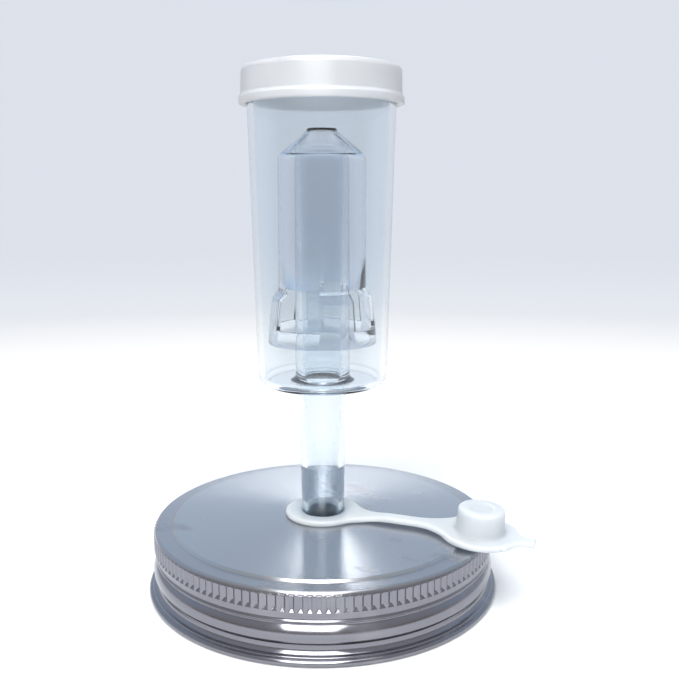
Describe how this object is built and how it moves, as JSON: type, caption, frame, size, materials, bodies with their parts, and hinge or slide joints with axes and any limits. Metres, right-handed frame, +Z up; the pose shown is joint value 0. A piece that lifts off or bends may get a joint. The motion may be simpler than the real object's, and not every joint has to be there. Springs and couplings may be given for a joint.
{
  "type": "three-piece airlock on a jar lid",
  "caption": "Clear cylindrical fermentation airlock with floating bell and vented cap, held by a silicone grommet with captive stopper in a knurled steel jar lid.",
  "frame": {"origin": "on the airlock's axis, in the plane of the lid's lower edge", "axes": "+Z up along the airlock's axis, +X along the silicone strap towards the stopper"},
  "size_m": [0.1016, 0.0914, 0.1314],
  "materials": {
    "stainless": "satin, brushed in rings round the centre",
    "gasket_silicone": "matte",
    "silicone": "smooth, slightly translucent",
    "clear_styrene": "polished, clear",
    "bell_styrene": "polished, clear",
    "milky_cap": "smooth, milky"
  },
  "bodies": {
    "lid": {"jar_lid": "stainless", "lid_gasket": "gasket_silicone", "grommet": "silicone"},
    "airlock": {"airlock_body": "clear_styrene"},
    "bell": {"bell": "bell_styrene"},
    "cap": {"cap": "milky_cap"},
    "stopper": {"stopper": "silicone"}
  },
  "joints": [
    {"name": "airlock_lift", "type": "slide", "parent": "lid", "child": "airlock", "axis": [0, 0, 1], "range_m": [0, 0.05]},
    {"name": "bell_float", "type": "slide", "parent": "airlock", "child": "bell", "axis": [0, 0, 1], "range_m": [0, 0.013]},
    {"name": "cap_lift", "type": "slide", "parent": "airlock", "child": "cap", "axis": [0, 0, 1], "range_m": [0, 0.03]},
    {"name": "stopper_fold", "type": "hinge", "parent": "lid", "child": "stopper", "pos_m": [0.021, 0, 0.01953], "axis": [0, -1, 0], "range_deg": [0, 90]}
  ]
}
